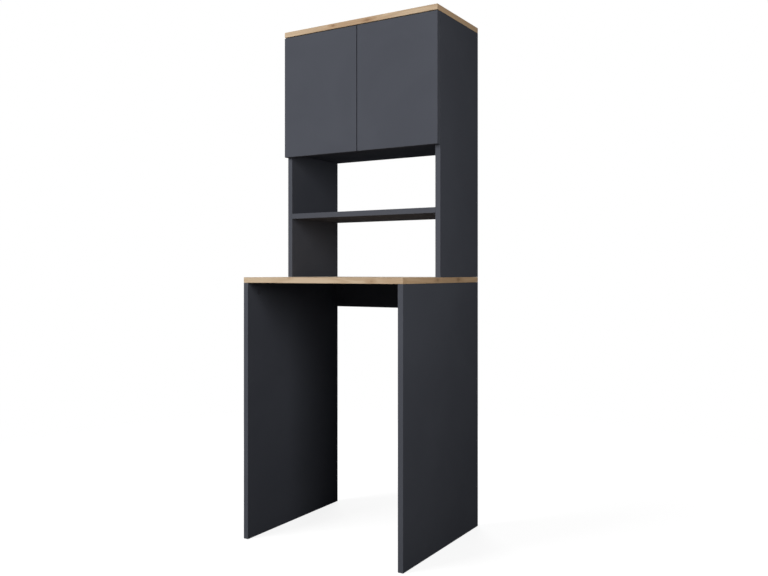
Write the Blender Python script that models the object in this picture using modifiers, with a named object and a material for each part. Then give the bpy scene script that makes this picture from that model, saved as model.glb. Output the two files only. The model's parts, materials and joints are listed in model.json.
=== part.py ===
"""Tall laundry cabinet: an open bay under a worktop, two open niches and a two-door cupboard.

Metres, +Z up. X runs across the front, the cabinet faces -Y, and the origin is on the floor, midway
between the side panels and midway between the front of the bay and the back edges.
"""

import math

import bmesh
import bpy
from mathutils import Matrix, Vector

# Cabinet
WIDTH = 0.640
BAY_DEPTH = 0.550
UPPER_DEPTH = 0.300
TOTAL_HEIGHT = 1.820
WORKTOP_TOP = 0.910
CUPBOARD_HEIGHT = 0.414
# How much of the open height between worktop and cupboard lies under the open shelf
LOWER_NICHE_SHARE = 0.494305
BOARD = 0.019
EDGE_ROUND = 0.0006
SEAT = 0.0003
OVERRUN = 0.004

# Rail across the back of the bay
RAIL_HEIGHT = 0.100

# Doors
DOOR_FRONT_GAP = 0.0015
DOOR_TOP_GAP = 0.003
DOOR_MIDDLE_GAP = 0.003
DOOR_DROP = 0.013
DOOR_OPENING = math.radians(95.0)

# Back panel of the cupboard, let into grooves
BACK_THICKNESS = 0.003
BACK_INSET = 0.010
GROOVE_DEPTH = 0.006

# Loose shelf in the cupboard, its pins and the rows of pin holes
LOOSE_SHELF_SETBACK = 0.022
LOOSE_SHELF_END_GAP = 0.0008
LOOSE_SHELF_BACK_GAP = 0.002
PIN_RADIUS = 0.0024
PIN_LENGTH = 0.008
PIN_HEAD_RADIUS = 0.0035
PIN_HEAD_LENGTH = 0.008
PIN_HEAD_CHAMFER = 0.0006
PIN_HOLE_DEPTH = 0.010
HOLE_ROW_INSET = 0.037
HOLE_PITCH = 0.032
HOLES_PER_ROW = 5

# Rubber buffers on the backs of the doors
BUFFER_RADIUS = 0.0045
BUFFER_THICKNESS = 0.0009
BUFFER_CROWN = 0.0003
BUFFER_INSET = 0.012

# Angle brackets that hold the cabinet to the wall
BRACKET_LEG = 0.040
BRACKET_WIDTH = 0.030
BRACKET_THICKNESS = 0.002
BRACKET_FROM_SIDE = 0.060
BRACKET_HOLE_RADIUS = 0.0024
BRACKET_HOLE_FROM_END = 0.012

# Hinge positions and pivots: across from the board they are fixed to, then depth behind its face
HINGE_FROM_DOOR_END = 0.095
ARM_FRONT_PIVOT = (0.0040, 0.0020)
ARM_REAR_PIVOT = (0.0250, 0.0097)
CUP_OUTER_PIVOT = (0.0086, 0.0073)
CUP_INNER_PIVOT = (0.0113, 0.0019)
PIVOT_RADIUS = 0.0015
PIVOT_CLEARANCE = 0.0003
KNUCKLE_RADIUS = 0.0028
RIVET_HEAD_RADIUS = 0.0024
RIVET_HEAD_LENGTH = 0.0006
OPEN_EYE_WALL = 0.0011

# Hinge cup
CUP_RADIUS = 0.0175
CUP_WALL = 0.0010
CUP_DEPTH = 0.0128
CUP_EDGE_DISTANCE = 0.003
FLANGE_THICKNESS = 0.0008
FLANGE_WIDTH = 0.019
FLANGE_SHIFT = 0.0055
FLANGE_HOLE_SPACING = 0.052
FLANGE_END_RADIUS = 0.0058
SCREW_HOLE_RADIUS = 0.0022

# Hinge links: half widths along the pivots, from the middle outwards
OUTER_LINK_HALF_WIDTH = 0.0036
OUTER_LINK_THICKNESS = 0.0018
CHEEK_INNER = 0.0041
CHEEK_OUTER = 0.0055
CHEEK_BREADTH = 0.0040

# Hinge arm and its mounting plate
ARM_INNER = 0.0060
ARM_OUTER = 0.0072
ARM_WEB = 0.0012
ARM_LENGTH = 0.072
ARM_REAR_HEIGHT = 0.0125
ARM_SLOPE_START = 0.021
ARM_SLOPE_END = 0.043
ARM_NOSE_FRONT = 0.0009
ARM_NOSE_CLEARANCE = 0.0006
ARM_WEB_FRONT = 0.0050
PLATE_THICKNESS = 0.0020
PLATE_FRONT = 0.024
PLATE_REAR = 0.062
PLATE_HALF_WIDTH = 0.0078
PLATE_WING_RADIUS = 0.0068
PLATE_RAIL_HALF_WIDTH = 0.0055
SLOT_SCREW_RADIUS = 0.0026

# Places along a link, and how far the link bows there, both as shares of the pivot distance
OUTER_LINK_SHARES = (
    (0.0, 0.0), (0.095, 0.17), (0.195, 0.35), (0.34, 0.48), (0.55, 0.47), (0.77, 0.28), (1.0, 0.0))
INNER_LINK_SHARES = ((0.0, 0.0), (0.16, 0.060), (0.36, 0.095), (0.62, 0.055), (1.0, 0.0))

# Facets
ROUND_SIDES = 32
PIVOT_SIDES = 12
KNUCKLE_SIDES = 16
HOLE_SIDES = 12
PATH_STEPS = 3
SWING_STEPS = 20

# Derived places
SIDE = WIDTH / 2
BACK = BAY_DEPTH / 2
BAY_FRONT = -BAY_DEPTH / 2
UPPER_FRONT = BACK - UPPER_DEPTH
DOOR_BACK = UPPER_FRONT - DOOR_FRONT_GAP
DOOR_FACE = DOOR_BACK - BOARD
INSIDE = SIDE - BOARD
CEILING = TOTAL_HEIGHT - BOARD
FLOOR_TOP = CEILING - CUPBOARD_HEIGHT
FLOOR_BOTTOM = FLOOR_TOP - BOARD
SHELF_BOTTOM = WORKTOP_TOP + (FLOOR_BOTTOM - WORKTOP_TOP - BOARD) * LOWER_NICHE_SHARE
DOOR_BOTTOM = FLOOR_BOTTOM - DOOR_DROP
DOOR_TOP = CEILING - DOOR_TOP_GAP
HINGE_HEIGHTS = (DOOR_BOTTOM + HINGE_FROM_DOOR_END, DOOR_TOP - HINGE_FROM_DOOR_END)
CUPBOARD_MIDDLE = (FLOOR_TOP + CEILING) / 2
BACK_PANEL_FRONT = BACK - BACK_INSET - BACK_THICKNESS


# Scene, collections and materials

def clear_scene():
    for item in list(bpy.data.objects):
        bpy.data.objects.remove(item, do_unlink=True)
    for group in list(bpy.data.collections):
        bpy.data.collections.remove(group)


def new_collection(name):
    group = bpy.data.collections.new(name)
    bpy.context.scene.collection.children.link(group)
    return group


def new_material(name, colour, roughness, metallic=0.0):
    material = bpy.data.materials.new(name)
    material.use_nodes = True
    shader = material.node_tree.nodes["Principled BSDF"]
    shader.inputs["Base Color"].default_value = (*colour, 1.0)
    shader.inputs["Roughness"].default_value = roughness
    shader.inputs["Metallic"].default_value = metallic
    return material


clear_scene()
PARTS = new_collection("washing_machine_cabinet")
CUTTERS = new_collection("cutters")
ANTHRACITE = new_material("anthracite_board", (0.080, 0.088, 0.105), 0.55)
OAK = new_material("oak_board", (0.560, 0.420, 0.280), 0.50)
BACKING = new_material("backing_board", (0.050, 0.052, 0.058), 0.70)
STEEL = new_material("hinge_steel", (0.550, 0.550, 0.540), 0.32, 1.0)
ZINC = new_material("bracket_zinc", (0.480, 0.490, 0.500), 0.45, 1.0)
RUBBER = new_material("clear_rubber", (0.600, 0.610, 0.600), 0.45)


# Mesh tools

def block(low, high):
    """Box between two corners."""
    low, high = Vector(low), Vector(high)
    shape = bmesh.new()
    bmesh.ops.create_cube(shape, size=1.0)
    middle, span = (low + high) / 2, high - low
    for corner in shape.verts:
        corner.co = middle + Vector((corner.co[axis] * span[axis] for axis in range(3)))
    return finish_mesh(shape, "block")


def rod(start, end, radius, sides):
    """Cylinder between two points."""
    start, end = Vector(start), Vector(end)
    along = end - start
    shape = bmesh.new()
    turn = along.to_track_quat("Z", "Y").to_matrix().to_4x4()
    bmesh.ops.create_cone(
        shape, cap_ends=True, segments=sides, radius1=radius, radius2=radius, depth=along.length,
        matrix=Matrix.Translation((start + end) / 2) @ turn)
    return finish_mesh(shape, "rod")


def finish_mesh(shape, name):
    mesh = bpy.data.meshes.new(name)
    shape.to_mesh(mesh)
    shape.free()
    return mesh


def evaluated_mesh(item):
    """Mesh of an object with its modifiers or its curve worked out."""
    bpy.context.view_layer.update()
    graph = bpy.context.evaluated_depsgraph_get()
    return bpy.data.meshes.new_from_object(item.evaluated_get(graph), depsgraph=graph)


def temporary(data, name="temporary"):
    item = bpy.data.objects.new(name, data)
    CUTTERS.objects.link(item)
    return item


def plate(outline, low, high):
    """Flat outline in X and Y, filled and extruded between two heights."""
    curve = bpy.data.curves.new("outline", "CURVE")
    curve.dimensions = "2D"
    curve.fill_mode = "BOTH"
    curve.extrude = (high - low) / 2
    spline = curve.splines.new("POLY")
    spline.points.add(len(outline) - 1)
    for point, (x, y) in zip(spline.points, outline):
        point.co = (x, y, 0.0, 1.0)
    spline.use_cyclic_u = True
    item = temporary(curve)
    mesh = evaluated_mesh(item)
    bpy.data.objects.remove(item)
    mesh.transform(Matrix.Translation((0.0, 0.0, (low + high) / 2)))
    shape = bmesh.new()
    shape.from_mesh(mesh)
    bmesh.ops.remove_doubles(shape, verts=shape.verts, dist=SEAT / 10)
    bmesh.ops.recalc_face_normals(shape, faces=shape.faces)
    shape.to_mesh(mesh)
    shape.free()
    return mesh


def turned(profile, sides):
    """Profile of (radius, height) points from the top down its outer side, turned about Z."""
    shape = bmesh.new()
    corners = [shape.verts.new((radius, 0.0, height)) for radius, height in profile]
    for first, second in zip(corners, corners[1:]):
        shape.edges.new((first, second))
    item = temporary(finish_mesh(shape, "profile"))
    screw = item.modifiers.new("turn", "SCREW")
    screw.steps = sides
    screw.render_steps = sides
    screw.use_merge_vertices = True
    screw.merge_threshold = SEAT / 10
    mesh = evaluated_mesh(item)
    bpy.data.objects.remove(item)
    return mesh


def combine(mesh, tools, operation):
    """Mesh joined with, or cut by, other meshes."""
    item = temporary(mesh)
    helpers = [temporary(tool) for tool in tools]
    for helper in helpers:
        boolean = item.modifiers.new(operation, "BOOLEAN")
        boolean.operation = operation
        boolean.object = helper
    result = evaluated_mesh(item)
    for used in [item, *helpers]:
        bpy.data.objects.remove(used)
    return result


def joined(mesh, *tools):
    return combine(mesh, tools, "UNION")


def cut(mesh, *tools):
    return combine(mesh, tools, "DIFFERENCE")


def mirrored(mesh):
    """Copy for the other hand, across the cabinet's middle plane."""
    copy = mesh.copy()
    copy.transform(Matrix.Diagonal((-1.0, 1.0, 1.0, 1.0)))
    copy.flip_normals()
    return copy


def moved(mesh, offset):
    copy = mesh.copy()
    copy.transform(Matrix.Translation(offset))
    return copy


# Objects

def place(name, mesh, material, origin=(0.0, 0.0, 0.0), parent=None):
    """Named sub-part whose mesh is given about its own origin."""
    item = bpy.data.objects.new(name, mesh)
    item.location = origin
    PARTS.objects.link(item)
    if not mesh.materials:
        mesh.materials.append(material)
    mesh.name = name
    if parent is not None:
        bpy.context.view_layer.update()
        item.parent = parent
        item.matrix_parent_inverse = parent.matrix_world.inverted()
    return item


def smooth(item, angle=math.radians(35.0)):
    item.data.shade_smooth()
    item.data.set_sharp_from_angle(angle=angle)
    return item


def round_edges(item):
    bevel = item.modifiers.new("edge_band", "BEVEL")
    bevel.width = EDGE_ROUND
    bevel.segments = 2
    bevel.limit_method = "ANGLE"
    return item


def board(name, material, low, high, origin=None, parent=None):
    """Flat board with edge-banded, slightly rounded edges."""
    origin = Vector(low if origin is None else origin)
    mesh = block(Vector(low) - origin, Vector(high) - origin)
    return round_edges(place(name, mesh, material, origin, parent))


def cut_from(item, mesh, name):
    """Keep a cutter as an object and take it from a board."""
    cutter = temporary(mesh, name)
    cutter.hide_render = True
    cutter.display_type = "WIRE"
    boolean = item.modifiers.new(name, "BOOLEAN")
    boolean.operation = "DIFFERENCE"
    boolean.object = cutter
    return cutter


# Carcass boards

def build_bay():
    top = WORKTOP_TOP - BOARD - SEAT
    board("lower_left_side", ANTHRACITE, (-SIDE, BAY_FRONT, 0.0), (-INSIDE, BACK, top))
    board("lower_right_side", ANTHRACITE, (INSIDE, BAY_FRONT, 0.0), (SIDE, BACK, top))
    board("worktop", OAK, (-SIDE, BAY_FRONT, WORKTOP_TOP - BOARD), (SIDE, BACK, WORKTOP_TOP))
    end = INSIDE - SEAT
    board("rear_rail", ANTHRACITE, (-end, BACK - BOARD, top - RAIL_HEIGHT), (end, BACK, top))


def build_upper_carcass():
    low, high = WORKTOP_TOP + SEAT, CEILING - SEAT
    left = board("upper_left_side", ANTHRACITE, (-SIDE, UPPER_FRONT, low), (-INSIDE, BACK, high))
    right = board("upper_right_side", ANTHRACITE, (INSIDE, UPPER_FRONT, low), (SIDE, BACK, high))
    end = INSIDE - SEAT
    board("open_shelf", ANTHRACITE, (-end, UPPER_FRONT, SHELF_BOTTOM), (end, BACK, SHELF_BOTTOM + BOARD))
    floor = board("cupboard_floor", ANTHRACITE, (-end, UPPER_FRONT, FLOOR_BOTTOM), (end, BACK, FLOOR_TOP))
    top = board("top_board", OAK, (-SIDE, DOOR_FACE, CEILING), (SIDE, BACK, TOTAL_HEIGHT))
    low = Vector((-INSIDE - GROOVE_DEPTH, BACK_PANEL_FRONT, FLOOR_TOP - GROOVE_DEPTH))
    high = Vector((INSIDE + GROOVE_DEPTH, BACK_PANEL_FRONT + BACK_THICKNESS, CEILING + GROOVE_DEPTH))
    place("back_panel", block(low, high), BACKING)
    room = Vector((SEAT, SEAT, SEAT))
    for item in (left, right, floor, top):
        cut_from(item, block(low - room, high + room), item.name + "_groove")
    return left, right


def pin_rows():
    """Depths of the two rows of shelf-pin holes."""
    return UPPER_FRONT + HOLE_ROW_INSET, BACK_PANEL_FRONT - HOLE_ROW_INSET


def pin_heights():
    first = CUPBOARD_MIDDLE - HOLE_PITCH * (HOLES_PER_ROW - 1) / 2
    return [first + HOLE_PITCH * index for index in range(HOLES_PER_ROW)]


def drill_pin_holes(item, hand):
    """Rows of blind holes on the inside of an upper side panel."""
    radius = PIN_RADIUS + SEAT
    face, bottom = hand * (INSIDE - OVERRUN), hand * (INSIDE + PIN_HOLE_DEPTH)
    holes = bmesh.new()
    for depth in pin_rows():
        for height in pin_heights():
            holes.from_mesh(rod((face, depth, height), (bottom, depth, height), radius, HOLE_SIDES))
    cut_from(item, finish_mesh(holes, "pin_holes"), item.name + "_pin_holes")


def build_loose_shelf():
    pin_height = pin_heights()[HOLES_PER_ROW // 2]
    underside = pin_height + PIN_HEAD_RADIUS + SEAT
    end = INSIDE - LOOSE_SHELF_END_GAP
    front = UPPER_FRONT + LOOSE_SHELF_SETBACK
    back = BACK_PANEL_FRONT - LOOSE_SHELF_BACK_GAP
    board("loose_shelf", ANTHRACITE, (-end, front, underside), (end, back, underside + BOARD))
    tip = PIN_HEAD_LENGTH + SEAT
    profile = (
        (0.0, tip), (PIN_HEAD_RADIUS - PIN_HEAD_CHAMFER, tip), (PIN_HEAD_RADIUS, tip - PIN_HEAD_CHAMFER),
        (PIN_HEAD_RADIUS, SEAT), (PIN_RADIUS, SEAT), (PIN_RADIUS, -PIN_LENGTH), (0.0, -PIN_LENGTH))
    pin = turned(profile, KNUCKLE_SIDES)
    for side_name, hand in (("left", -1), ("right", 1)):
        for row_name, depth in zip(("front", "rear"), pin_rows()):
            item = place(f"shelf_pin_{side_name}_{row_name}", pin, STEEL, (hand * INSIDE, depth, pin_height))
            item.rotation_euler = (0.0, math.radians(-90.0) * hand, 0.0)
            smooth(item)


def build_brackets():
    """Steel angles under the top board, one leg against the back panel."""
    top, back = CEILING - SEAT, BACK_PANEL_FRONT - SEAT
    outline = (
        (0.0, 0.0), (BRACKET_LEG, 0.0), (BRACKET_LEG, -BRACKET_THICKNESS),
        (BRACKET_THICKNESS, -BRACKET_THICKNESS), (BRACKET_THICKNESS, -BRACKET_LEG), (0.0, -BRACKET_LEG))
    angle = plate(outline, -BRACKET_WIDTH / 2, BRACKET_WIDTH / 2)
    reach = BRACKET_LEG - BRACKET_HOLE_FROM_END
    spread = BRACKET_WIDTH / 4
    drills = []
    for offset in (-spread, spread):
        up = (reach, -BRACKET_THICKNESS - OVERRUN, offset), (reach, OVERRUN, offset)
        through = (-OVERRUN, -reach, offset), (BRACKET_THICKNESS + OVERRUN, -reach, offset)
        drills += [rod(*up, BRACKET_HOLE_RADIUS, HOLE_SIDES), rod(*through, BRACKET_HOLE_RADIUS, HOLE_SIDES)]
    angle = cut(angle, *drills)
    # The outline's first axis points forwards, its second up, and the width lies across the cabinet
    angle.transform(Matrix(((0, 0, -1, 0), (-1, 0, 0, 0), (0, 1, 0, 0), (0, 0, 0, 1))))
    for side_name, hand in (("left", -1), ("right", 1)):
        across = hand * (INSIDE - BRACKET_FROM_SIDE)
        place(f"wall_bracket_{side_name}", angle, ZINC, (across, back, top))


# Hinge linkage, seen from above on the left door

def vector(pair):
    return Vector((pair[0], pair[1]))


def turn(point, angle):
    """Point turned counter-clockwise, seen from above, about the origin."""
    return Matrix.Rotation(angle, 2) @ point


def pivots():
    """Closed places of the four pivots: arm front, cup outer, arm rear, cup inner."""
    arm = Vector((-INSIDE, UPPER_FRONT))
    cup = Vector((-SIDE, DOOR_BACK))
    cup_side = [cup + Vector((across, -depth)) for across, depth in (CUP_OUTER_PIVOT, CUP_INNER_PIVOT)]
    return arm + vector(ARM_FRONT_PIVOT), cup_side[0], arm + vector(ARM_REAR_PIVOT), cup_side[1]


def full_turns():
    """How far the two links turn while the door opens fully, from the crossing of their two circles."""
    arm_front, cup_outer, arm_rear, cup_inner = pivots()
    bar = turn(cup_inner - cup_outer, -DOOR_OPENING)
    centre = arm_front + bar
    outer_length = (cup_outer - arm_front).length
    inner_length = (cup_inner - arm_rear).length
    span = arm_rear - centre
    along = (outer_length ** 2 - inner_length ** 2 + span.length_squared) / (2 * span.length)
    rise = math.sqrt(max(outer_length ** 2 - along ** 2, 0.0))
    direction = span.normalized()
    inner_end = centre + direction * along + Vector((direction.y, -direction.x)) * rise
    outer_end = inner_end - bar
    outer = (cup_outer - arm_front).angle_signed(outer_end - arm_front)
    inner = (cup_inner - arm_rear).angle_signed(inner_end - arm_rear)
    return -outer, -inner


def open_pivot_play():
    """Places of the rear arm pivot, seen from the inner link, while all joints turn at constant ratios."""
    arm_front, cup_outer, arm_rear, cup_inner = pivots()
    outer_turn, inner_turn = full_turns()
    places = []
    for step in range(SWING_STEPS + 1):
        share = step / SWING_STEPS
        outer_end = arm_front + turn(cup_outer - arm_front, outer_turn * share)
        inner_end = outer_end + turn(cup_inner - cup_outer, -DOOR_OPENING * share)
        places.append(cup_inner + turn(arm_rear - inner_end, -inner_turn * share))
    return places


def open_eye():
    """Slot in the inner link that the rear arm pivot travels in: its far centre and its half width."""
    _, _, arm_rear, _ = pivots()
    play = open_pivot_play()
    farthest = max(play, key=lambda point: (point - arm_rear).length)
    along = (farthest - arm_rear).normalized()
    spread = max(abs((point - arm_rear).dot(Vector((-along.y, along.x)))) for point in play)
    return farthest, PIVOT_RADIUS + PIVOT_CLEARANCE + spread


def nose_height():
    """How far the arm's nose stands off the side panel, clear of the inner link's long eye."""
    _, _, arm_rear, _ = pivots()
    farthest, slot = open_eye()
    eye = (farthest - arm_rear).length + slot + OPEN_EYE_WALL
    return ARM_REAR_PIVOT[0] + eye + ARM_NOSE_CLEARANCE + ARM_WEB


def smooth_path(points):
    """Even curve through a few points."""
    ends = [points[0] * 2 - points[1], *points, points[-1] * 2 - points[-2]]
    path = []
    for before, start, end, after in zip(ends, ends[1:], ends[2:], ends[3:]):
        for step in range(PATH_STEPS):
            share = step / PATH_STEPS
            bend = (before - start * 2 + end) * (1 - share) + (start - end * 2 + after) * share
            path.append(start + (end - start) * share - bend * (share * (1 - share) / 2))
    path.append(points[-1])
    return path


def bowed_path(start, end, shares):
    """Curve between two pivots that bows out to its right-hand side."""
    along = end - start
    bow = Vector((along.y, -along.x))
    return smooth_path([start + along * place_share + bow * bow_share for place_share, bow_share in shares])


def strip(path, thickness):
    """Outline of a strip of constant thickness along a path."""
    left, right = [], []
    for index, point in enumerate(path):
        before, after = path[max(index - 1, 0)], path[min(index + 1, len(path) - 1)]
        direction = (after - before).normalized()
        offset = Vector((-direction.y, direction.x)) * (thickness / 2)
        left.append(point + offset)
        right.append(point - offset)
    return left + right[::-1]


def capsule(start, end, radius, sides):
    """Outline of two half circles joined by straight lines, wound counter-clockwise."""
    along = end - start
    heading = math.atan2(along.y, along.x)
    half = sides // 2
    outline = []
    for centre, first in ((end, heading - math.pi / 2), (start, heading + math.pi / 2)):
        for step in range(half + 1):
            angle = first + math.pi * step / half
            outline.append(centre + Vector((math.cos(angle), math.sin(angle))) * radius)
    return outline


def upright(point, radius, low, high, sides):
    """Cylinder along the pivots at a place seen from above."""
    return rod((point.x, point.y, low), (point.x, point.y, high), radius, sides)


def outer_link_mesh():
    """Hooked plate with a rolled knuckle at each end, which runs in the middle of the hinge."""
    arm_front, cup_outer, _, _ = pivots()
    low, high = -OUTER_LINK_HALF_WIDTH, OUTER_LINK_HALF_WIDTH
    body = plate(strip(bowed_path(cup_outer, arm_front, OUTER_LINK_SHARES), OUTER_LINK_THICKNESS), low, high)
    ends = (cup_outer, arm_front)
    bore = PIVOT_RADIUS + PIVOT_CLEARANCE
    knuckles = [upright(point, KNUCKLE_RADIUS, low, high, KNUCKLE_SIDES) for point in ends]
    bores = [upright(point, bore, low - OVERRUN, high + OVERRUN, PIVOT_SIDES) for point in ends]
    return cut(joined(body, *knuckles), *bores)


def inner_link_mesh():
    """Fork of two cheeks on either side of the outer link, joined by a long sleeve at the arm."""
    _, _, arm_rear, cup_inner = pivots()
    path = bowed_path(cup_inner, arm_rear, INNER_LINK_SHARES)
    farthest, slot = open_eye()
    bore = PIVOT_RADIUS + PIVOT_CLEARANCE
    reach = CHEEK_OUTER + OVERRUN
    fork = plate(capsule(arm_rear, farthest, slot + OPEN_EYE_WALL, KNUCKLE_SIDES), -CHEEK_OUTER, CHEEK_OUTER)
    pieces = []
    for low, high in ((-CHEEK_OUTER, -CHEEK_INNER), (CHEEK_INNER, CHEEK_OUTER)):
        pieces.append(plate(strip(path, CHEEK_BREADTH), low, high))
        pieces.append(upright(cup_inner, KNUCKLE_RADIUS, low, high, KNUCKLE_SIDES))
    return cut(
        joined(fork, *pieces),
        plate(capsule(arm_rear, farthest, slot, KNUCKLE_SIDES), -reach, reach),
        upright(cup_inner, bore, -reach, reach, PIVOT_SIDES))


def rivet(point, half_length):
    """Pivot pin across the hinge with a flat head at each end."""
    head = half_length + RIVET_HEAD_LENGTH
    pin = upright(point, PIVOT_RADIUS, -half_length, half_length, PIVOT_SIDES)
    heads = [
        upright(point, RIVET_HEAD_RADIUS, half_length, head, PIVOT_SIDES),
        upright(point, RIVET_HEAD_RADIUS, -head, -half_length, PIVOT_SIDES)]
    return joined(pin, *heads)


def arm_mesh():
    """Channel on the side panel whose tall nose carries the two arm pivots."""
    arm_front, _, arm_rear, _ = pivots()
    face = Vector((-INSIDE, UPPER_FRONT))
    top = nose_height()
    low_edge = PLATE_THICKNESS + 2 * SEAT
    pivot_edge = ARM_FRONT_PIVOT[0] - KNUCKLE_RADIUS
    outer = (
        (low_edge, ARM_LENGTH), (low_edge, PLATE_FRONT - KNUCKLE_RADIUS),
        (pivot_edge, ARM_FRONT_PIVOT[1] + KNUCKLE_RADIUS), (pivot_edge, -ARM_NOSE_FRONT),
        (ARM_FRONT_PIVOT[0] + KNUCKLE_RADIUS, -ARM_NOSE_FRONT), (top, ARM_WEB_FRONT),
        (top, ARM_SLOPE_START), (ARM_REAR_HEIGHT, ARM_SLOPE_END), (ARM_REAR_HEIGHT, ARM_LENGTH))
    inner = (
        (-OVERRUN, ARM_LENGTH + OVERRUN), (-OVERRUN, -OVERRUN), (top - ARM_WEB, -OVERRUN),
        (top - ARM_WEB, ARM_SLOPE_START), (ARM_REAR_HEIGHT - ARM_WEB, ARM_SLOPE_END),
        (ARM_REAR_HEIGHT - ARM_WEB, ARM_LENGTH + OVERRUN))
    body = plate([face + Vector(point) for point in outer], -ARM_OUTER, ARM_OUTER)
    hollow = plate([face + Vector(point) for point in inner], -ARM_INNER, ARM_INNER)
    depth = face.y + (PLATE_REAR + ARM_SLOPE_END) / 2
    over = face.x + top
    web_hole = rod((face.x + PLATE_THICKNESS, depth, 0.0), (over, depth, 0.0), SLOT_SCREW_RADIUS, HOLE_SIDES)
    channel = cut(body, hollow, web_hole)
    return joined(channel, rivet(arm_front, ARM_OUTER), rivet(arm_rear, ARM_OUTER))


def mounting_plate_mesh():
    """Winged base screwed to the side panel, with the rail that the arm clips over."""
    base = Vector((-INSIDE + SEAT, UPPER_FRONT))
    wing, row = HOLE_PITCH / 2, HOLE_ROW_INSET
    # Outlines here lie in the plane of the side panel: depth first, height second
    body = block((PLATE_FRONT, -PLATE_HALF_WIDTH, 0.0), (PLATE_REAR, PLATE_HALF_WIDTH, PLATE_THICKNESS))
    wing_outline = capsule(Vector((row, -wing)), Vector((row, wing)), PLATE_WING_RADIUS, KNUCKLE_SIDES)
    wings = plate(wing_outline, 0.0, PLATE_THICKNESS)
    top = ARM_REAR_HEIGHT - ARM_WEB - 2 * SEAT
    rail = block((PLATE_FRONT, -PLATE_RAIL_HALF_WIDTH, 0.0), (PLATE_REAR, PLATE_RAIL_HALF_WIDTH, top))
    through = PLATE_THICKNESS + OVERRUN
    holes = [
        rod((row, height, -OVERRUN), (row, height, through), SCREW_HOLE_RADIUS, HOLE_SIDES)
        for height in (-wing, wing)]
    mesh = cut(joined(body, wings, rail), *holes)
    mesh.transform(Matrix(((0, 0, 1, base.x), (1, 0, 0, base.y), (0, 1, 0, 0), (0, 0, 0, 1))))
    return mesh


def cup_centre():
    return Vector((-SIDE + CUP_EDGE_DISTANCE + CUP_RADIUS, DOOR_BACK))


def flange_outline(middle):
    """Flange seen from behind the door: widest beside the bowl, with a rounded ear at each end."""
    half = FLANGE_HOLE_SPACING / 2
    steps = KNUCKLE_SIDES // 2
    outline = []
    for way in (1, -1):
        for step in range(steps + 1):
            angle = math.pi * step / steps
            offset = Vector((math.cos(angle), math.sin(angle))) * FLANGE_END_RADIUS
            outline.append(Vector((middle, 0.0)) + (offset + Vector((0.0, half))) * way)
        outline.append(Vector((middle - way * FLANGE_WIDTH / 2, 0.0)))
    return outline


def pin_reach(point):
    """Half the length of a pivot that ends in the wall of the bowl."""
    flank = abs(point.x - cup_centre().x) + PIVOT_RADIUS
    return math.sqrt(CUP_RADIUS ** 2 - flank ** 2) - SEAT


def cup_mesh():
    """Pressed bowl with a screw flange, and the two pivots that cross it."""
    _, cup_outer, _, cup_inner = pivots()
    centre = cup_centre()
    seat = DOOR_BACK + SEAT
    rim = seat + FLANGE_THICKNESS
    floor = DOOR_BACK - CUP_DEPTH
    bowl = rod((centre.x, rim, 0.0), (centre.x, floor, 0.0), CUP_RADIUS, ROUND_SIDES)
    mouth, bottom = (centre.x, rim + OVERRUN, 0.0), (centre.x, floor + CUP_WALL, 0.0)
    hollow = rod(mouth, bottom, CUP_RADIUS - CUP_WALL, ROUND_SIDES)
    middle = centre.x + FLANGE_SHIFT
    half = FLANGE_HOLE_SPACING / 2
    flange = plate(flange_outline(middle), -rim, -seat)
    flange.transform(Matrix(((1, 0, 0, 0), (0, 0, -1, 0), (0, 1, 0, 0), (0, 0, 0, 1))))
    holes = [
        rod((middle, rim + OVERRUN, height), (middle, seat - OVERRUN, height), SCREW_HOLE_RADIUS, HOLE_SIDES)
        for height in (-half, half)]
    shell = cut(joined(bowl, flange), hollow, *holes)
    across, stub = pin_reach(cup_outer), pin_reach(cup_inner)
    pins = [
        upright(cup_outer, PIVOT_RADIUS, -across, across, PIVOT_SIDES),
        upright(cup_inner, PIVOT_RADIUS, CHEEK_INNER, stub, PIVOT_SIDES),
        upright(cup_inner, PIVOT_RADIUS, -stub, -CHEEK_INNER, PIVOT_SIDES)]
    return joined(shell, *pins)


def hinge_shapes():
    """Pieces of a left-hand hinge: name, mesh about the hinge's mid height, and place of its origin."""
    arm_front, _, _, cup_inner = pivots()
    return (
        ("hinge_cup", cup_mesh(), cup_centre()), ("hinge_arm", arm_mesh(), arm_front),
        ("hinge_plate", mounting_plate_mesh(), Vector((-INSIDE, UPPER_FRONT))),
        ("outer_link", outer_link_mesh(), arm_front), ("inner_link", inner_link_mesh(), cup_inner))


def build_hinge_set(shapes, side_name, hand, door):
    """Two hinges of one door, the lower and the upper."""
    for part_name, mesh, origin in shapes:
        local = moved(mesh, (-origin.x, -origin.y, 0.0))
        if hand > 0:
            local = mirrored(local)
        for level_name, height in zip(("lower", "upper"), HINGE_HEIGHTS):
            parent = door if part_name == "hinge_cup" else None
            place_at = (-hand * origin.x, origin.y, height)
            smooth(place(f"{side_name}_{level_name}_{part_name}", local, STEEL, place_at, parent))


# Doors

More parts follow.
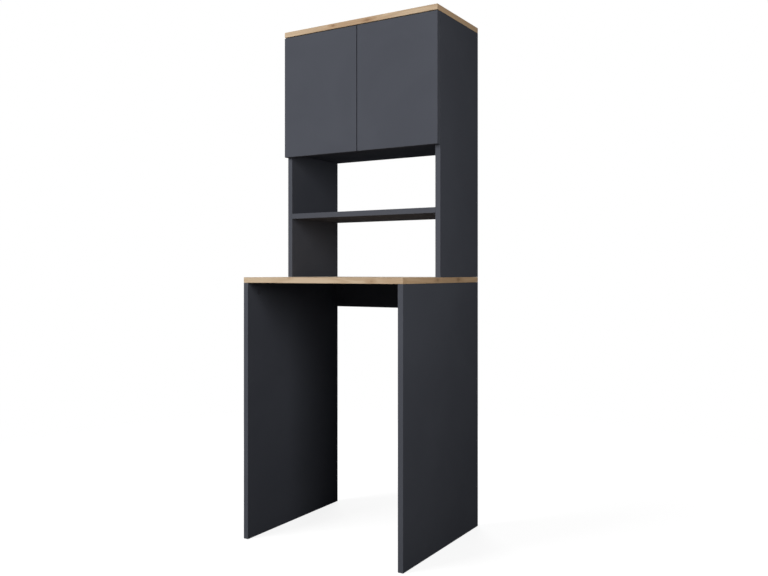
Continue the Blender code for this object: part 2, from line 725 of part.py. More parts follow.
def build_door(side_name, hand):
    _, cup_outer, _, _ = pivots()
    meeting, outside = hand * DOOR_MIDDLE_GAP / 2, hand * SIDE
    low = (min(meeting, outside), DOOR_FACE, DOOR_BOTTOM)
    high = (max(meeting, outside), DOOR_BACK, DOOR_TOP)
    axis = (-hand * cup_outer.x, cup_outer.y, DOOR_BOTTOM)
    door = board(f"{side_name}_door", ANTHRACITE, low, high, axis)
    centre = cup_centre()
    across = -hand * centre.x
    mouth, bottom = DOOR_BACK + OVERRUN, DOOR_BACK - CUP_DEPTH - SEAT
    for level_name, height in zip(("lower", "upper"), HINGE_HEIGHTS):
        bore = rod((across, mouth, height), (across, bottom, height), CUP_RADIUS + SEAT, ROUND_SIDES)
        cut_from(door, bore, f"{side_name}_{level_name}_cup_bore")
    dome = (
        (0.0, BUFFER_THICKNESS), (BUFFER_RADIUS - BUFFER_CROWN, BUFFER_THICKNESS),
        (BUFFER_RADIUS, BUFFER_THICKNESS - BUFFER_CROWN), (BUFFER_RADIUS, 0.0), (0.0, 0.0))
    buffer_place = (meeting + hand * BUFFER_INSET, DOOR_BACK + SEAT, FLOOR_BOTTOM + BOARD / 2)
    buffer = place(f"{side_name}_door_buffer", turned(dome, KNUCKLE_SIDES), RUBBER, buffer_place, door)
    buffer.rotation_euler = (math.radians(-90.0), 0.0, 0.0)
    smooth(buffer)
    return door


build_bay()
left_side, right_side = build_upper_carcass()
drill_pin_holes(left_side, -1)
drill_pin_holes(right_side, 1)
build_loose_shelf()
build_brackets()
hinge_pieces = hinge_shapes()
for door_side, door_hand in (("left", -1), ("right", 1)):
    build_hinge_set(hinge_pieces, door_side, door_hand, build_door(door_side, door_hand))
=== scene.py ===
"""Dressed laundry cabinet: materials, small fasteners, plain studio light and the front right-hand view."""

import json
import math

import bmesh
import bpy
from mathutils import Matrix, Vector


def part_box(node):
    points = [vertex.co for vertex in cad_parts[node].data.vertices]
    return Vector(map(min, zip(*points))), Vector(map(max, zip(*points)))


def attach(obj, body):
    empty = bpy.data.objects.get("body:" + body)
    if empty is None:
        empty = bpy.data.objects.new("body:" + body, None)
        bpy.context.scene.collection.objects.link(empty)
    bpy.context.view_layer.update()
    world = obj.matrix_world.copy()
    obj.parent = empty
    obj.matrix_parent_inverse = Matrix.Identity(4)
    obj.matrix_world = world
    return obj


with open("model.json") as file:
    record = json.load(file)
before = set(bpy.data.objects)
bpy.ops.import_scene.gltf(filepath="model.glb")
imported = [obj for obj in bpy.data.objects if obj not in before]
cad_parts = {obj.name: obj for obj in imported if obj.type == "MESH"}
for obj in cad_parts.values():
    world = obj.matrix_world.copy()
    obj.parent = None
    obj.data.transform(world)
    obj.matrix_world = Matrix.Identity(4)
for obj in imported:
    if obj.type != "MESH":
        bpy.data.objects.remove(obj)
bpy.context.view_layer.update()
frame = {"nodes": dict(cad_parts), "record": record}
NODES = frame["nodes"]

# View from the front right-hand side, level, with the picture shifted a little
LENS = 37.878
SENSOR = 36.0
SHIFT_Y = -0.0201
CAMERA_PLACE = (1.5567, -2.4309, 0.9264)
CAMERA_YAW = 0.5444

# Lamps: place, target, size, power
LAMPS = {
    "key": ((-2.4, -3.4, 2.6), (0.0, 0.0, 1.1), (2.4, 2.4), 180.0),
    "fill": ((1.7, -1.1, 1.45), (0.32, -0.1, 1.0), (0.6, 1.0), 16.0),
    "back": ((-2.0, 3.3, 1.65), (0.0, 0.0, 1.2), (2.2, 0.3), 80.0),
    "top": ((0.1, 0.1, 2.9), (0.1, 0.1, 1.82), (0.8, 0.5), 5.5),
}
AMBIENT = 0.03

# Floor: half its size, where it fades to white, share and strength of its own light near the object,
# and its tone in the picture and toward the object
FLOOR_HALF = 9.0
FADE_START = 0.8
FADE_END = 2.6
GLOW_SHARE = 0.66
GLOW_STRENGTH = 1.31
FLOOR_SEEN = (0.90, 0.90, 0.90)
FLOOR_UNSEEN = (0.12, 0.12, 0.12)

# Board colours
ANTHRACITE = (0.083, 0.088, 0.106)
ANTHRACITE_PALE = (0.092, 0.098, 0.117)
ANTHRACITE_WORN = (0.170, 0.172, 0.185)
OAK_PALE = (0.665, 0.521, 0.362)
OAK_ROSE = (0.640, 0.480, 0.333)
OAK_MIDDLE = (0.560, 0.415, 0.275)
OAK_DARK = (0.395, 0.255, 0.155)
OAK_BLUSH = (0.430, 0.272, 0.158)
OAK_KNOT = (0.240, 0.130, 0.075)
OAK_END = (0.900, 0.530, 0.250)
FIBREBOARD = (0.235, 0.150, 0.085)

# Other colours
NICKEL = (0.700, 0.685, 0.660)
NICKEL_PALE = (0.820, 0.810, 0.790)
ZINC = (0.560, 0.575, 0.600)
ZINC_PALE = (0.680, 0.690, 0.700)
CLEAR_RUBBER = (0.720, 0.730, 0.710)
CAP_GREY = (0.060, 0.064, 0.076)

# Gloss, clearness and share of metal: melamine is nearly matt
BOARD_GLOSS = 0.01
BACKING_GLOSS = 0.10
RUBBER_GLOSS = 0.50
CAP_GLOSS = 0.06
RUBBER_CLEARNESS = 0.50
METAL_SHARE = 0.92

# Middle roughness
NICKEL_ROUGH = 0.46
ZINC_ROUGH = 0.50
RUBBER_ROUGH = 0.40
CAP_ROUGH = 0.70
FLOOR_ROUGH = 0.90

# Noises of the finishes: marks in a metre, octaves, their roughness, distortion
PEARL = (1900.0, 2.0, 0.65, 0.0)
SPECK = (900.0, 1.0, 0.50, 0.0)
CLOUD = (3.2, 3.0, 0.55, 0.4)
SMUDGE = (14.0, 4.0, 0.60, 0.8)
WORN_PATCH = (55.0, 3.0, 0.50, 0.0)
KNOT_RUFFLE = (240.0, 2.0, 0.50, 0.0)
RAW_FIBRE = (420.0, 4.0, 0.70, 0.6)
MOTTLE = (26.0, 3.0, 0.60, 0.0)
DRAWING = (900.0, 3.0, 0.60, 0.0)
STAIN = (160.0, 3.0, 0.60, 0.5)
MOULD_GRAIN = (2400.0, 2.0, 0.60, 0.0)
BLOTCH = (120.0, 2.0, 0.50, 0.0)

# Noises of the oak: marks in a metre along the grain and across it, octaves, their roughness, distortion
DRIFT = (2.2, 6.0, 2.0, 0.50, 0.0)
PLANK = (1.1, 14.0, 3.0, 0.55, 0.0)
ROSE = (2.6, 70.0, 2.0, 0.50, 0.0)
FIGURE = (1.5, 22.0, 2.0, 0.50, 0.6)
STREAK = (3.5, 280.0, 1.0, 0.50, 0.0)
FIBRE = (18.0, 520.0, 2.0, 0.60, 0.0)
PORE = (60.0, 1400.0, 1.0, 0.50, 0.0)

# Limits between which a noise turns into marks
SPECK_LIMITS = (0.60, 0.74)
CLOUD_LIMITS = (0.30, 0.70)
SMUDGE_LIMITS = (0.48, 0.75)
WORN_LIMITS = (0.42, 0.68)
ROSE_LIMITS = (0.38, 0.62)
PORE_LIMITS = (0.60, 0.74)
FIBRE_LIMITS = (0.52, 0.70)
STAIN_LIMITS = (0.45, 0.75)

# Limits of the oak's tone from pale to middle and from middle to dark
MIDDLE_LIMITS = (0.22, 0.50)
DARK_LIMITS = (0.46, 0.76)

# Growth rings: how densely they follow the oak's figure
RINGS = 46.0

# The edge bands are cut from another stretch of the print than the broad faces
PRINT_SHIFT = 0.31

# Depth of the textures
PEARL_DEPTH = 0.00012
GRAIN_DEPTH = 0.00018
FIBRE_DEPTH = 0.00015
DRAWING_DEPTH = 0.00006
MOULD_DEPTH = 0.00008

# Drawing marks of the hinges run up and down
DRAWN_UPWARD = (1.0, 1.0, 0.15)

# Knots of the oak boards: face, place from the middle of that face, half length along the grain and
# half width across it, depth of the dark core and of the blush round it
KNOTS = {
    "top_board": (
        ("front", (-0.101, 0.0015), (0.020, 0.008), 0.60, 0.75),
        ("front", (0.043, -0.0010), (0.032, 0.010), 0.60, 0.85),
        ("front", (-0.015, 0.0010), (0.085, 0.018), 0.00, 0.62),
        ("top", (-0.210, -0.005), (0.038, 0.014), 0.60, 0.40),
        ("top", (0.150, -0.085), (0.022, 0.009), 0.60, 0.40)),
    "worktop": (
        ("front", (0.205, -0.0020), (0.017, 0.007), 0.35, 0.40),
        ("front", (-0.121, 0.0070), (0.010, 0.004), 0.25, 0.40),
        ("front", (0.285, 0.0000), (0.050, 0.018), 0.00, 0.22),
        ("end", (-0.044, 0.0010), (0.020, 0.013), 0.42, 0.45),
        ("end", (0.035, 0.0000), (0.060, 0.014), 0.00, 0.40),
        ("end", (0.112, 0.0015), (0.032, 0.016), 0.50, 0.50),
        ("top", (-0.120, -0.130), (0.040, 0.015), 0.60, 0.40),
        ("top", (0.210, 0.060), (0.025, 0.010), 0.60, 0.40)),
}

# Where a knot's core and blush fade, in multiples of its half sizes
KNOT_CORE = (0.10, 0.62)
KNOT_BLUSH = (0.30, 2.2)

# The short ends' bands are paler than the long ones
END_TONE = {"top_board": -0.30, "worktop": -0.06}

# Edge bands of the boards: the seam's start, middle and end, and how far the corners are worn
SEAM = (0.0005, 0.0008, 0.0012)
WEAR_REACH = 0.0011

# Part of the normal from which a face counts as facing an axis
FACING = 0.6

# Smoothing of round pieces
WELD_DISTANCE = 0.00001
SHARP_ANGLE = math.radians(38.0)

# Screw heads and cover caps: radius, height
FLANGE_SCREW = (0.0034, 0.0011)
WING_SCREW = (0.0033, 0.0014)
ARM_SCREW = (0.0036, 0.0018)
BRACKET_SCREW = (0.0040, 0.0022)
COVER_CAP = (0.0085, 0.0009)
HEAD_SIDES = 24
CAP_SIDES = 32
SPIN_STEP = 0.6

# Profiles as shares of the radius and of the height, from the axis below to the top
HEAD_SHARES = ((0.0, 0.0), (1.0, 0.0), (1.0, 0.30), (0.95, 0.62), (0.84, 0.86), (0.68, 1.0))
CAP_SHARES = (
    (0.0, 0.0), (1.0, 0.0), (1.0, 0.45), (0.97, 0.80), (0.90, 1.0),
    (0.80, 1.0), (0.76, 0.80), (0.40, 0.74), (0.0, 0.72))

# Cross recess as shares of the head: half width and half length of an arm, size and height of its floor
RECESS_ARM_SHARE = 0.15
RECESS_REACH_SHARE = 0.50
RECESS_TAPER_SHARE = 0.72
RECESS_FLOOR_SHARE = 0.25

# Screw holes of a hinge: flange holes apart and inward of the cup's middle, wing holes apart and behind
# the carcass edge, the arm's screw behind that edge
FLANGE_HOLES_APART = 0.052
FLANGE_SHIFT = 0.0055
WING_HOLES_APART = 0.032
WING_HOLES_BACK = 0.037
ARM_SCREW_BACK = 0.0525

# Heights of the plate's face and of the arm's web over the side panel
PLATE_FACE = 0.0023
ARM_FACE = 0.0125

# Screw holes of a wall bracket: apart, and from its corner
BRACKET_HOLES_APART = 0.015
BRACKET_HOLES_OUT = 0.028
BRACKET_THICKNESS = 0.002

# Cam fittings: from a board's end, and behind the front edge or above the lower edge
CAM_INSET = 0.034
CAM_DEPTHS = (0.050, 0.250)
RAIL_CAM_HEIGHTS = (0.030, 0.070)
BAY_CAM_DEPTHS = (0.060, 0.460)

SIDES = (("left", -1), ("right", 1))
LEVELS = ("lower", "upper")


# Material tools

class Graph:
    """Adds nodes to one node tree and links them."""

    def __init__(self, tree):
        self.tree = tree

    def add(self, kind, **settings):
        node = self.tree.nodes.new(kind)
        for key, value in settings.items():
            setattr(node, key, value)
        return node

    def feed(self, socket, value):
        if isinstance(value, bpy.types.NodeSocket):
            self.tree.links.new(value, socket)
        elif value is not None:
            socket.default_value = value

    def math(self, operation, first, second=None, third=None, clamp=False):
        node = self.add("ShaderNodeMath", operation=operation, use_clamp=clamp)
        for socket, value in zip(node.inputs, (first, second, third)):
            self.feed(socket, value)
        return node.outputs[0]

    def vector(self, operation, first, second=(0.0, 0.0, 0.0)):
        node = self.add("ShaderNodeVectorMath", operation=operation)
        self.feed(node.inputs[0], first)
        self.feed(node.inputs[1], second)
        return node.outputs["Value" if operation == "LENGTH" else "Vector"]

    def combine(self, x, y, z):
        node = self.add("ShaderNodeCombineXYZ")
        for socket, value in zip(node.inputs, (x, y, z)):
            self.feed(socket, value)
        return node.outputs[0]

    def split(self, vector):
        node = self.add("ShaderNodeSeparateXYZ")
        self.feed(node.inputs[0], vector)
        return list(node.outputs)

    def place(self):
        return self.add("ShaderNodeTexCoord").outputs["Object"]

    def normal(self):
        return self.split(self.add("ShaderNodeTexCoord").outputs["Normal"])

    def facing(self, axis):
        """1 where the surface faces along an axis, 0 where it faces across it."""
        return self.math("GREATER_THAN", self.math("ABSOLUTE", self.normal()[axis]), FACING)

    def noise(self, vector, marks, octaves, roughness, distortion):
        node = self.add("ShaderNodeTexNoise")
        self.feed(node.inputs["Vector"], vector)
        node.inputs["Scale"].default_value = marks
        node.inputs["Detail"].default_value = octaves
        node.inputs["Roughness"].default_value = roughness
        node.inputs["Distortion"].default_value = distortion
        return node.outputs["Fac"]

    def step(self, value, low, high, start=0.0, end=1.0):
        """Smooth step of a value between two limits."""
        node = self.add("ShaderNodeMapRange", interpolation_type="SMOOTHSTEP")
        self.feed(node.inputs["Value"], value)
        node.inputs["From Min"].default_value = low
        node.inputs["From Max"].default_value = high
        node.inputs["To Min"].default_value = start
        node.inputs["To Max"].default_value = end
        return node.outputs["Result"]

    def mix(self, factor, first, second):
        """Mix of two colours, which are the node's inputs 6 and 7 and its output 2."""
        node = self.add("ShaderNodeMix", data_type="RGBA")
        self.feed(node.inputs[0], factor)
        for socket, value in ((node.inputs[6], first), (node.inputs[7], second)):
            self.feed(socket, (*value, 1.0) if isinstance(value, tuple) else value)
        return node.outputs[2]

    def layered(self, colour, *layers):
        """Colour with others laid over it, each by its mask and its share."""
        for mask, share, over in layers:
            colour = self.mix(self.math("MULTIPLY", mask, share), colour, over)
        return colour

    def total(self, start, *terms):
        """Start value plus values times their weights."""
        for value, weight in terms:
            start = self.math("MULTIPLY_ADD", value, weight, start)
        return start

    def seen_directly(self):
        """1 for rays from the camera and for mirror and glass rays."""
        path = self.add("ShaderNodeLightPath")
        rays = self.math("ADD", path.outputs["Is Camera Ray"], path.outputs["Is Glossy Ray"])
        return self.math("ADD", rays, path.outputs["Is Transmission Ray"], clamp=True)


class Finish(Graph):
    """Graph of a new material with one Principled shader."""

    def __init__(self, name):
        self.material = bpy.data.materials.new(name)
        self.material.use_nodes = True
        super().__init__(self.material.node_tree)
        self.shader = self.tree.nodes["Principled BSDF"]

    def bump(self, height, strength, distance):
        node = self.add("ShaderNodeBump")
        self.feed(node.inputs["Height"], height)
        self.feed(node.inputs["Strength"], strength)
        node.inputs["Distance"].default_value = distance
        self.feed(self.shader.inputs["Normal"], node.outputs["Normal"])

    def close(self, colour, roughness, **constants):
        self.feed(self.shader.inputs["Base Color"], colour)
        self.feed(self.shader.inputs["Roughness"], roughness)
        for name, value in constants.items():
            self.shader.inputs[name.replace("_", " ")].default_value = value
        return self.material


def shade(colour, factor):
    return tuple(value * factor for value in colour)


# Finishes

def edge_distance(g, low, high):
    """Distance along the surface of a board to its nearest edge."""
    gaps = []
    for value, start, end in zip(g.split(g.place()), low, high):
        gaps.append(g.math("MINIMUM", g.math("SUBTRACT", value, start), g.math("SUBTRACT", end, value)))
    total = g.math("ADD", g.math("ADD", gaps[0], gaps[1]), gaps[2])
    largest = g.math("MAXIMUM", g.math("MAXIMUM", gaps[0], gaps[1]), gaps[2])
    smallest = g.math("MINIMUM", g.math("MINIMUM", gaps[0], gaps[1]), gaps[2])
    return g.math("SUBTRACT", g.math("SUBTRACT", total, largest), smallest)


def edge_marks(g, node):
    """Masks of a board: narrow banded edges, the band's fine seam, and worn corners."""
    low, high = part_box(node)
    span = high - low
    broad = g.facing(min(range(3), key=lambda axis: span[axis]))
    edge = edge_distance(g, low, high)
    start, middle, end = SEAM
    seam = g.math("MULTIPLY", g.step(edge, start, middle), g.step(edge, middle, end, 1.0, 0.0))
    patches = g.step(g.noise(g.place(), *WORN_PATCH), *WORN_LIMITS)
    wear = g.math("MULTIPLY", g.step(edge, 0.0, WEAR_REACH, 1.0, 0.0), patches)
    return g.math("SUBTRACT", 1.0, broad), g.math("MULTIPLY", seam, broad), wear


def melamine(node):
    """Anthracite melamine board: fine pearl texture, banded edges, faint clouding and wear."""
    g = Finish("melamine_" + node)
    place = g.place()
    band, seam, wear = edge_marks(g, node)
    pearl = g.noise(place, *PEARL)
    speck = g.step(g.noise(place, *SPECK), *SPECK_LIMITS)
    cloud = g.step(g.noise(place, *CLOUD), *CLOUD_LIMITS)
    smudge = g.step(g.noise(place, *SMUDGE), *SMUDGE_LIMITS)
    colour = g.layered(
        ANTHRACITE,
        (cloud, 1.0, ANTHRACITE_PALE),
        (pearl, 0.30, shade(ANTHRACITE, 0.72)),
        (speck, 0.16, ANTHRACITE_WORN),
        (band, 0.05, ANTHRACITE_WORN),
        (seam, 0.45, shade(ANTHRACITE, 0.45)),
        (wear, 0.40, ANTHRACITE_WORN))
    rough = g.total(0.84, (pearl, 0.12), (smudge, 0.06), (band, -0.10))
    g.bump(g.total(0.0, (pearl, 1.0), (speck, 0.5)), g.total(0.24, (band, -0.16)), PEARL_DEPTH)
    return g.close(colour, rough, Specular_IOR_Level=BOARD_GLOSS)


def knot_place(node, face, across, up):
    """Point on a face of a board, measured from the middle of that face."""
    low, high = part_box(node)
    middle = (low + high) / 2
    if face == "front":
        return (middle.x + across, low.y, middle.z + up)
    if face == "end":
        return (high.x, middle.y + across, middle.z + up)
    return (middle.x + across, middle.y + up, high.z)


def knots(g, node):
    """Masks of an oak board's knots: their dark cores and the wide blush round them."""
    ruffle = g.total(-0.45, (g.noise(g.place(), *KNOT_RUFFLE), 0.9))
    core = blush = 0.0
    for face, (across, up), (half_length, half_width), dark, red in KNOTS[node]:
        reach = [half_width, half_width, half_width]
        reach[1 if face == "end" else 0] = half_length
        offset = g.vector("SUBTRACT", g.place(), knot_place(node, face, across, up))
        away = g.vector("LENGTH", g.vector("DIVIDE", offset, reach))
        away = g.math("ADD", away, ruffle)
        core = g.math("MAXIMUM", core, g.step(away, *KNOT_CORE, dark, 0.0))
        blush = g.math("MAXIMUM", blush, g.step(away, *KNOT_BLUSH, red, 0.0))
    return core, blush


def grain_noise(g, band, end):
    """Maker of the oak's noises, drawn out along the grain."""
    x, y, z = g.split(g.place())
    # On the short ends the grain of the edge band runs along the depth
    inner = g.math("SUBTRACT", 1.0, end)
    along = g.math("ADD", g.math("MULTIPLY", x, inner), g.math("MULTIPLY", y, end))
    across = g.math("ADD", g.math("MULTIPLY", y, inner), g.math("MULTIPLY", x, end))
    place = g.combine(along, across, g.total(z, (band, PRINT_SHIFT)))

    def noise(length, width, *settings):
        return g.noise(g.vector("MULTIPLY", place, (length, width, width)), 1.0, *settings)

    return noise


def oak(node):
    """Oak-look melamine: grain along the length, pores, rings that flow round knots and banded edges."""
    g = Finish("oak_" + node)
    band, seam, wear = edge_marks(g, node)
    core, blush = knots(g, node)
    end = g.facing(0)
    grain = grain_noise(g, band, end)
    fibre = grain(*FIBRE)
    pore = g.step(grain(*PORE), *PORE_LIMITS)
    bent = g.total(0.0, (grain(*FIGURE), 1.0), (grain(*DRIFT), 0.8), (blush, 0.25))
    rings = g.math("SINE", g.math("MULTIPLY", bent, RINGS))
    tone = g.total(
        -0.32, (grain(*PLANK), 0.85), (rings, 0.085), (fibre, 0.30), (grain(*STREAK), 0.30),
        (end, END_TONE[node]))
    colour = g.layered(
        OAK_PALE,
        (g.step(grain(*ROSE), *ROSE_LIMITS), 1.0, OAK_ROSE),
        (g.step(tone, *MIDDLE_LIMITS), 1.0, OAK_MIDDLE),
        (g.step(tone, *DARK_LIMITS), 0.75, OAK_DARK),
        (end, 0.35, OAK_END),
        (blush, 1.0, OAK_BLUSH),
        (core, 1.0, OAK_KNOT),
        (pore, 0.30, OAK_DARK),
        (seam, 0.40, OAK_DARK),
        (wear, 0.30, OAK_PALE))
    rough = g.total(0.80, (fibre, 0.14), (pore, 0.08))
    g.bump(g.total(0.0, (fibre, 0.7), (pore, -0.6)), 0.30, GRAIN_DEPTH)
    return g.close(colour, rough, Specular_IOR_Level=BOARD_GLOSS)


def backing(node):
    """Thin fibreboard: dark print inside the cupboard, raw brown fibres behind."""
    g = Finish("backing_" + node)
    place = g.place()
    raw = g.math("GREATER_THAN", g.normal()[1], FACING)
    fibres = g.noise(place, *RAW_FIBRE)
    mottle = g.noise(place, *MOTTLE)
    printed = g.layered(ANTHRACITE, (fibres, 0.4, ANTHRACITE_PALE))
    bare = g.layered(
        FIBREBOARD,
        (mottle, 0.8, shade(FIBREBOARD, 1.35)),
        (g.step(fibres, *FIBRE_LIMITS), 0.4, shade(FIBREBOARD, 0.55)))
    g.bump(fibres, g.total(0.10, (raw, 0.25)), FIBRE_DEPTH)
    rough = g.total(0.65, (raw, 0.15), (fibres, 0.10))
    return g.close(g.mix(raw, printed, bare), rough, Specular_IOR_Level=BACKING_GLOSS)


def metal(name, colour, tint, roughness, brush=(1.0, 1.0, 1.0)):
    """Plated steel: fine drawing marks and small dull stains."""
    g = Finish(name)
    brushed = g.vector("MULTIPLY", g.place(), brush)
    drawn = g.noise(brushed, *DRAWING)
    stain = g.step(g.noise(g.place(), *STAIN), *STAIN_LIMITS)
    mixed = g.layered(colour, (drawn, 0.35, tint), (stain, 0.25, shade(colour, 0.6)))
    g.bump(drawn, 0.12, DRAWING_DEPTH)
    rough = g.total(roughness - 0.08, (drawn, 0.16), (stain, 0.10))
    return g.close(mixed, rough, Metallic=METAL_SHARE)


def plastic(name, colour, roughness, gloss, clear=0.0):
    """Moulded plastic with a fine eroded surface and faint blotches."""
    g = Finish(name)
    texture = g.noise(g.place(), *MOULD_GRAIN)
    mixed = g.layered(colour, (g.noise(g.place(), *BLOTCH), 0.5, shade(colour, 0.82)))
    g.bump(texture, 0.15, MOULD_DEPTH)
    rough = g.total(roughness - 0.06, (texture, 0.12))
    return g.close(mixed, rough, Specular_IOR_Level=gloss, Transmission_Weight=clear)


# Dressing of the carried-over nodes

def nodes_of(*slots):
    return [part["node"] for part in frame["record"]["subparts"] if part["material_slot"] in slots]


def dress(names, make):
    """New material on carried-over nodes: one made for each, or one shared by all."""
    for name in names:
        data = NODES[name].data
        data.materials.clear()
        data.materials.append(make(name) if callable(make) else make)
        for face in data.polygons:
            face.material_index = 0


def round_off(names):
    """Smooth shading on turned and pressed nodes, with their real edges kept sharp."""
    for name in names:
        item = NODES[name]
        stored = item.data.attributes.get("custom_normal")
        if stored:
            item.data.attributes.remove(stored)
        item.data.shade_smooth()
        weld = item.modifiers.new("weld", "WELD")
        weld.merge_threshold = WELD_DISTANCE
        edges = item.modifiers.new("edges", "EDGE_SPLIT")
        edges.split_angle = SHARP_ANGLE


# Small fasteners

def turned_ring(shape, radius, height, sides):
    """Ring of points round the axis, or the one point on it."""
    if radius == 0.0:
        return [shape.verts.new((0.0, 0.0, height))]
    angles = [2.0 * math.pi * index / sides for index in range(sides)]
    return [shape.verts.new((radius * math.cos(angle), radius * math.sin(angle), height)) for angle in angles]


def lathe(shares, radius, height, sides):
    """Turned mesh from a profile given as shares of a radius and a height."""
    shape = bmesh.new()
    rings = [turned_ring(shape, radius * wide, height * high, sides) for wide, high in shares]
    for lower, upper in zip(rings, rings[1:]):
        for index in range(sides):
            after = index + 1
            corners = (
                lower[index % len(lower)], lower[after % len(lower)],
                upper[after % len(upper)], upper[index % len(upper)])
            shape.faces.new(list(dict.fromkeys(corners)))
    return shape


def to_mesh(shape, name):
    mesh = bpy.data.meshes.new(name)
    shape.to_mesh(mesh)
    shape.free()
    return mesh


def joined(ring):
    """Pairs of neighbours round a closed ring."""
    return zip(ring, ring[1:] + ring[:1])


def screw_head(radius, height):
    """Domed screw head with a cross recess, its seat on z = 0."""
    shape = lathe(HEAD_SHARES, radius, height, HEAD_SIDES)
    rim = list(shape.verts)[-HEAD_SIDES:]
    arm = radius * RECESS_ARM_SHARE
    reach = radius * RECESS_REACH_SHARE
    taper = RECESS_TAPER_SHARE
    outline = (
        (arm, arm), (arm, reach), (-arm, reach), (-arm, arm), (-reach, arm), (-reach, -arm),
        (-arm, -arm), (-arm, -reach), (arm, -reach), (arm, -arm), (reach, -arm), (reach, arm))
    top = [shape.verts.new((x, y, height)) for x, y in outline]
    floor = [shape.verts.new((x * taper, y * taper, height * RECESS_FLOOR_SHARE)) for x, y in outline]
    edges = [shape.edges.get(pair) for pair in joined(rim)]
    edges += [shape.edges.new(pair) for pair in joined(top)]
    bmesh.ops.triangle_fill(shape, use_beauty=True, edges=edges, normal=(0.0, 0.0, 1.0))
    for (top_first, top_next), (floor_first, floor_next) in zip(joined(top), joined(floor)):
        shape.faces.new((top_first, top_next, floor_next, floor_first))
    shape.faces.new(floor)
    bmesh.ops.recalc_face_normals(shape, faces=shape.faces)
    return to_mesh(shape, "screw_head")


def cover_cap(radius, height):
    """Press-in cap over a cam fitting: thin rounded rim and a shallow dished middle."""
    shape = lathe(CAP_SHARES, radius, height, CAP_SIDES)
    bmesh.ops.recalc_face_normals(shape, faces=shape.faces)
    return to_mesh(shape, "cover_cap")


def standing(place, direction, spin=0.0):
    """Matrix that stands a piece on a surface, its own +Z along the surface's normal."""
    turn = Vector(direction).to_track_quat("Z", "Y").to_matrix().to_4x4()
    return Matrix.Translation(place) @ turn @ Matrix.Rotation(spin, 4, "Z")


def group(name, mesh, stands, finish, body):
    """One piece of a few equal fasteners, each turned a little further, riding on a body."""
    shape = bmesh.new()
    for number, (place, direction) in enumerate(stands):
        start = len(shape.verts)
        shape.from_mesh(mesh)
        shape.verts.ensure_lookup_table()
        matrix = standing(place, direction, SPIN_STEP * number)
        bmesh.ops.transform(shape, matrix=matrix, verts=list(shape.verts)[start:])
    item = bpy.data.objects.new(name, to_mesh(shape, name))
    bpy.context.scene.collection.objects.link(item)
    item.data.materials.append(finish)
    item.data.shade_smooth()
    item.data.set_sharp_from_angle(angle=SHARP_ANGLE)
    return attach(item, body)


def add_hinge_screws(finish):
    """Screws of the hinges: two in each flange, two in each plate's wings, one in each arm."""
    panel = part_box("upper_right_side")[0]
    flange_screw = screw_head(*FLANGE_SCREW)
    wing_screw = screw_head(*WING_SCREW)
    arm_screw = screw_head(*ARM_SCREW)
    for side, hand in SIDES:
        inward = (-hand, 0, 0)
        flanges, wings, arms = [], [], []
        for level in LEVELS:
            low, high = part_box(f"{side}_{level}_hinge_cup")
            middle = (low + high) / 2
            across = middle.x - hand * FLANGE_SHIFT
            for end in (-1, 1):
                flange_height = middle.z + end * FLANGE_HOLES_APART / 2
                flanges.append(((across, high.y, flange_height), (0, 1, 0)))
                wing_height = middle.z + end * WING_HOLES_APART / 2
                wing = (hand * (panel.x - PLATE_FACE), panel.y + WING_HOLES_BACK, wing_height)
                wings.append((wing, inward))
            web = (hand * (panel.x - ARM_FACE), panel.y + ARM_SCREW_BACK, middle.z)
            arms.append((web, inward))
        group(f"{side}_cup_screws", flange_screw, flanges, finish, f"{side}_door")
        group(f"{side}_plate_screws", wing_screw, wings, finish, "carcass")
        group(f"{side}_arm_screws", arm_screw, arms, finish, "carcass")


def add_bracket_screws(finish):
    """Screws of the wall brackets: two up into the top board, two back into the wall."""
    head = screw_head(*BRACKET_SCREW)
    for side, _ in SIDES:
        low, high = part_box(f"wall_bracket_{side}")
        stands = []
        for end in (-1, 1):
            across = (low.x + high.x) / 2 + end * BRACKET_HOLES_APART / 2
            upper = (across, high.y - BRACKET_HOLES_OUT, high.z - BRACKET_THICKNESS)
            rear = (across, high.y - BRACKET_THICKNESS, high.z - BRACKET_HOLES_OUT)
            stands += [(upper, (0, 0, -1)), (rear, (0, -1, 0))]
        group(f"bracket_screws_{side}", head, stands, finish, "carcass")


def add_cover_caps(finish):
    """Caps over the cam fittings, on the faces that the cabinet hides in use."""
    cap = cover_cap(*COVER_CAP)
    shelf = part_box("open_shelf")
    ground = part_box("cupboard_floor")
    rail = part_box("rear_rail")
    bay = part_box("lower_left_side")
    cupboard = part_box("upper_left_side")
    down, up, forward = (0, 0, -1), (0, 0, 1), (0, -1, 0)
    shelf_caps, floor_caps, rail_caps, bay_caps, cupboard_caps = [], [], [], [], []
    for _, hand in SIDES:
        inward = (-hand, 0, 0)
        across = hand * (shelf[1].x - CAM_INSET)
        for depth in CAM_DEPTHS:
            y = shelf[0].y + depth
            shelf_caps.append(((across, y, shelf[0].z), down))
            floor_caps.append(((across, y, ground[1].z), up))
            cupboard_caps.append(((-hand * cupboard[1].x, y, cupboard[1].z - CAM_INSET), inward))
        for height in RAIL_CAM_HEIGHTS:
            rail_caps.append(((across, rail[0].y, rail[0].z + height), forward))
        for depth in BAY_CAM_DEPTHS:
            bay_caps.append(((-hand * bay[1].x, bay[0].y + depth, bay[1].z - CAM_INSET), inward))
    caps = {
        "shelf_caps": shelf_caps, "floor_caps": floor_caps, "rail_caps": rail_caps,
        "bay_caps": bay_caps, "cupboard_caps": cupboard_caps}
    for name, stands in caps.items():
        group(name, cap, stands, finish, "carcass")


# Stage, light and camera

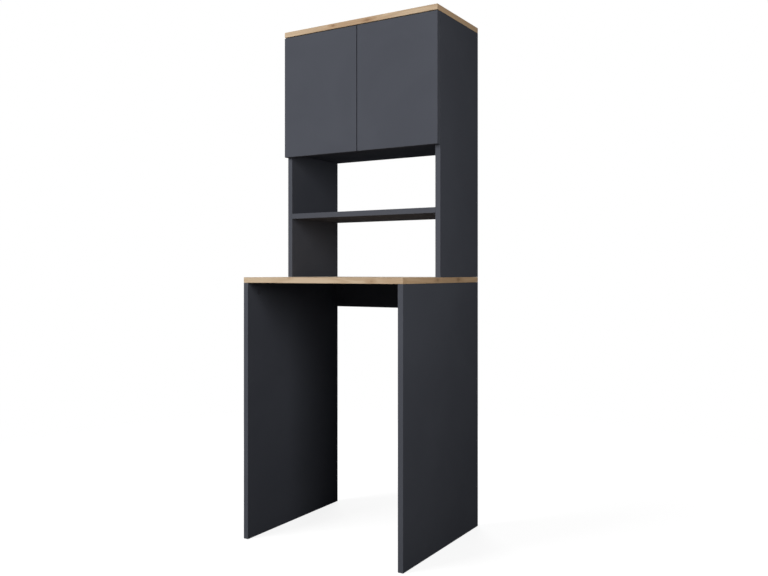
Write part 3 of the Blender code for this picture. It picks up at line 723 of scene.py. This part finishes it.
def build_floor():
    """Pale floor that keeps the object's shadow and fades to the white background."""
    shape = bmesh.new()
    bmesh.ops.create_grid(shape, x_segments=1, y_segments=1, size=FLOOR_HALF)
    floor = bpy.data.objects.new("studio_floor", to_mesh(shape, "studio_floor"))
    bpy.context.scene.collection.objects.link(floor)
    g = Finish("studio_floor")
    seen = g.seen_directly()
    g.close(g.mix(seen, FLOOR_UNSEEN, FLOOR_SEEN), FLOOR_ROUGH, Specular_IOR_Level=0.0)
    away = g.vector("LENGTH", g.vector("MULTIPLY", g.place(), (1.0, 1.0, 0.0)))
    share = g.math("MULTIPLY", g.step(away, FADE_START, FADE_END, GLOW_SHARE, 1.0), seen)
    glow = g.add("ShaderNodeEmission")
    g.feed(glow.inputs["Strength"], g.step(away, FADE_START, FADE_END, GLOW_STRENGTH, 1.0))
    blend = g.add("ShaderNodeMixShader")
    g.feed(blend.inputs[0], share)
    g.feed(blend.inputs[1], g.shader.outputs[0])
    g.feed(blend.inputs[2], glow.outputs[0])
    g.feed(g.tree.nodes["Material Output"].inputs["Surface"], blend.outputs[0])
    floor.data.materials.append(g.material)


def build_world():
    """White where it is seen, and a faint even light on the object."""
    world = bpy.data.worlds.new("studio")
    bpy.context.scene.world = world
    world.use_nodes = True
    g = Graph(world.node_tree)
    background = g.tree.nodes["Background"]
    background.inputs["Color"].default_value = (1.0, 1.0, 1.0, 1.0)
    g.feed(background.inputs["Strength"], g.total(AMBIENT, (g.seen_directly(), 1.0 - AMBIENT)))


def build_lamps():
    for name, (place, target, size, power) in LAMPS.items():
        lamp = bpy.data.lights.new(name, "AREA")
        lamp.shape = "RECTANGLE"
        lamp.size, lamp.size_y = size
        lamp.energy = power
        item = bpy.data.objects.new(name, lamp)
        item.location = place
        item.rotation_euler = (Vector(target) - Vector(place)).to_track_quat("-Z", "Y").to_euler()
        item.visible_camera = False
        bpy.context.scene.collection.objects.link(item)


def build_camera():
    data = bpy.data.cameras.new("camera")
    data.sensor_width = SENSOR
    data.lens = LENS
    data.shift_y = SHIFT_Y
    camera = bpy.data.objects.new("camera", data)
    camera.location = CAMERA_PLACE
    camera.rotation_euler = (math.radians(90.0), 0.0, CAMERA_YAW)
    bpy.context.scene.collection.objects.link(camera)
    bpy.context.scene.camera = camera


# Finishes of the carried-over nodes
nickel = metal("nickel_plate", NICKEL, NICKEL_PALE, NICKEL_ROUGH, DRAWN_UPWARD)
zinc = metal("zinc_plate", ZINC, ZINC_PALE, ZINC_ROUGH)
rubber = plastic("buffer_rubber", CLEAR_RUBBER, RUBBER_ROUGH, RUBBER_GLOSS, RUBBER_CLEARNESS)
dress(nodes_of("oak_board"), oak)
dress(nodes_of("anthracite_board"), melamine)
dress(nodes_of("backing_board"), backing)
dress(nodes_of("hinge_steel"), nickel)
dress(nodes_of("bracket_zinc"), zinc)
dress(nodes_of("clear_rubber"), rubber)
round_off(nodes_of("hinge_steel", "clear_rubber"))

# Fasteners
add_hinge_screws(nickel)
add_bracket_screws(zinc)
add_cover_caps(plastic("cap_plastic", CAP_GREY, CAP_ROUGH, CAP_GLOSS))

# Studio
build_camera()
build_floor()
build_world()
build_lamps()
bpy.context.scene.view_settings.view_transform = "Standard"
